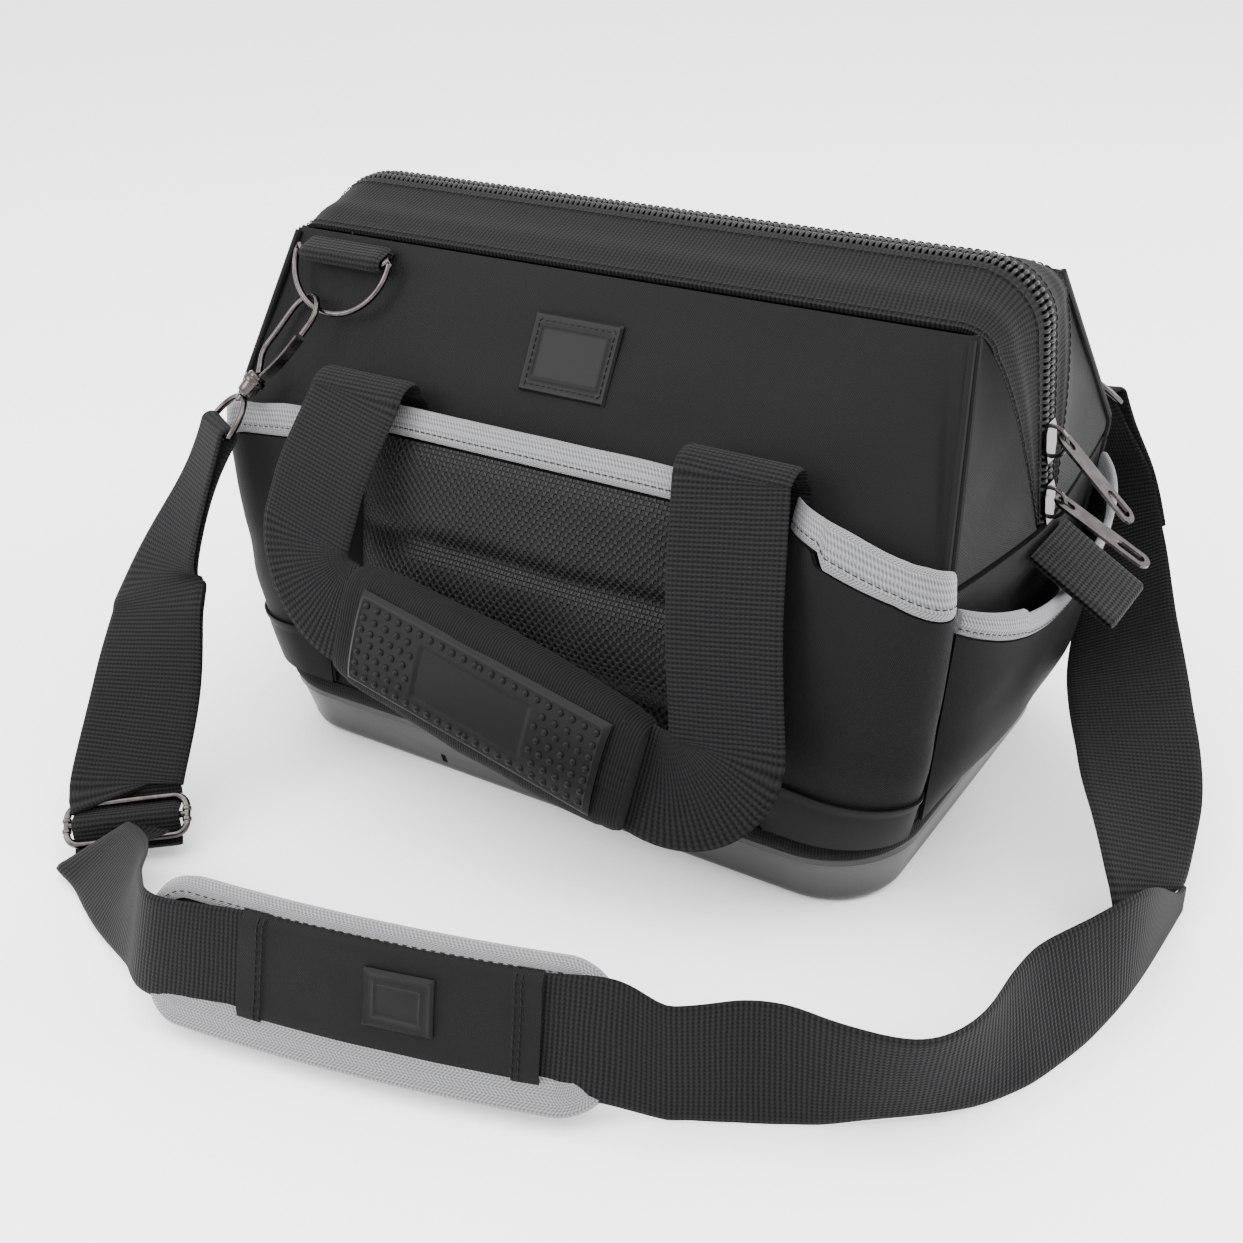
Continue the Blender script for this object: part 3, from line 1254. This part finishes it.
def pad_point(x, rise, out):
    """A place on the pad: x along its bend, rise up its slope, out from its middle surface."""
    along = Vector((*PAD_ALONG, 0.0)).normalized()
    outward = Vector((along.y, -along.x, 0.0))
    angle = x / PAD_BEND_RADIUS
    radial = outward * math.cos(angle) + along * math.sin(angle)
    lean = math.radians(PAD_LEAN_DEG)
    up = Vector((0.0, 0.0, 1.0)) * math.cos(lean) - radial * math.sin(lean)
    normal = radial * math.cos(lean) + Vector((0.0, 0.0, 1.0)) * math.sin(lean)
    foot = Vector((*PAD_MIDDLE, 0.0)) + (radial - outward) * PAD_BEND_RADIUS
    return foot + up * rise + normal * out


def pad_stations(half_length, corner):
    """Places along the pad, close together over its rounded ends, with what each end loses."""
    ends = []
    for i in range(PAD_CORNER_STEPS + 1):
        angle = math.pi / 2 * i / PAD_CORNER_STEPS
        ends.append((half_length - corner * (1 - math.sin(angle)), corner * (1 - math.cos(angle))))
    ends.reverse()
    middle = [(x, 0.0) for x in spread(PAD_COLUMNS, -half_length + corner, half_length - corner)]
    left = [(-x, loss) for x, loss in ends[:-1]]
    return left + middle + [(x, loss) for x, loss in reversed(ends[:-1])]


def build_pad():
    """The padded strip behind the strap, its bound edge, and the sleeve over the strap."""
    thick, thin = PAD_THICKNESS / 2, PAD_EDGE_THICKNESS / 2
    sections = []
    for x, loss in pad_stations(PAD_HALF_LENGTH, PAD_CORNER):
        low, high = PAD_LOW + loss, PAD_HIGH - loss
        ring = [(low, -thin), (low + PAD_EDGE_THICKNESS, -thick), (high - PAD_EDGE_THICKNESS, -thick),
                (high, -thin), (high, thin), (high - PAD_EDGE_THICKNESS, thick),
                (low + PAD_EDGE_THICKNESS, thick), (low, thin)]
        sections.append([pad_point(x, rise, out) for rise, out in ring])
    loft("shoulder_pad", sections, "body_cloth")
    reach = PAD_BINDING_RADIUS + SEAT
    stops = pad_stations(PAD_HALF_LENGTH + reach, PAD_CORNER + reach)
    edge = [pad_point(x, PAD_LOW - reach + loss, 0.0) for x, loss in stops]
    edge += [pad_point(x, PAD_HIGH + reach - loss, 0.0) for x, loss in reversed(stops)]
    add_part("pad_binding", tube_mesh("pad_binding", edge, PAD_BINDING_RADIUS, True), "binding")
    near = thick + SEAT
    far = near + WEBBING + 2 * SEAT + SLEEVE_THICKNESS
    low, high = PAD_LOW + SLEEVE_MARGIN, PAD_HIGH - SLEEVE_MARGIN
    profile = [(low, near), (low, far), (high, far), (high, near),
               (high - SLEEVE_THICKNESS, near), (high - SLEEVE_THICKNESS, far - SLEEVE_THICKNESS),
               (low + SLEEVE_THICKNESS, far - SLEEVE_THICKNESS), (low + SLEEVE_THICKNESS, near)]
    sections = [[pad_point(x, rise, out) for rise, out in profile]
                for x in spread(PAD_COLUMNS, SLEEVE_LEFT, SLEEVE_RIGHT)]
    loft("pad_sleeve", sections, "body_cloth")


def build_floor_strap():
    """One length of webbing: from the adjuster, through the pad's sleeve, round to the fold."""
    rows = list(FLOOR_TURN)
    middle = (PAD_LOW + PAD_HIGH) / 2
    out = PAD_THICKNESS / 2 + 2 * SEAT + WEBBING / 2
    up = pad_point(0.0, 1.0, 0.0) - pad_point(0.0, 0.0, 0.0)
    rows.append((pad_point(SLEEVE_LEFT, middle, out), up, STRAP_AT_SLEEVE))
    for x in spread(5, SLEEVE_LEFT / 2, SLEEVE_RIGHT):
        rows.append((pad_point(x, middle, out), up, STRAP_IN_SLEEVE))
    rows.append((pad_point(PAD_HALF_LENGTH, middle - SEAT, out + 3 * SEAT), up, STRAP_IN_SLEEVE))
    places = [Vector((x, y, 0.0)) for x, y, _ in FLOOR_EDGE] + [Vector((*FLOOR_END, 0.0))]
    for i, (x, y, degrees) in enumerate(FLOOR_EDGE):
        along = (places[i + 1] - places[max(i - 1, 0)]).normalized()
        lean = math.radians(degrees)
        rise = Vector((along.y, -along.x, 0.0)) * math.sin(lean)
        rise += Vector((0.0, 0.0, 1.0)) * math.cos(lean)
        lift = Vector((0.0, 0.0, SEAT + WEBBING / 2 * abs(math.sin(lean))))
        rows.append((places[i] + lift + rise * WEBBING_WIDTH / 2, rise, WEBBING_WIDTH))
    rows.append((places[-1] + Vector((0.0, 0.0, SEAT + FLOOR_END_WIDTH / 2)),
                 Vector((0.0, 0.0, 1.0)), FLOOR_END_WIDTH))
    route, turns, sizes = guided(rows, FLOOR_STRAP_STEPS)
    for spot, turn, size in zip(route, turns, sizes):
        flat = math.sqrt(1 - turn.z ** 2)
        spot.z = max(spot.z, SEAT + size / 2 * abs(turn.z) + WEBBING / 2 * flat)
    ribbon("floor_strap", route, turns, sizes, WEBBING, "webbing")


def build_straps():
    build_hanging_run("left_strap_run", False, LEFT_RUN, RUN_STEPS)
    build_hanging_run("right_strap_run", True, RIGHT_RUN, STRAP_TAIL)
    build_adjuster()
    build_floor_strap()
    build_pad()


build_tray()
build_board()
build_seam_tape()
build_walls()
build_bands()
build_frames()
build_zip()
build_upper_walls()
build_pockets()
build_end_tabs()
build_sliders()
build_anchors()
build_front_handle()
build_back_handle()
build_hardware()
build_straps()

# Every face is cut into triangles here, so the STEP file and the pack share one surface
for part in PARTS.objects:
    part.modifiers.new("triangles", "TRIANGULATE").quad_method = "FIXED"
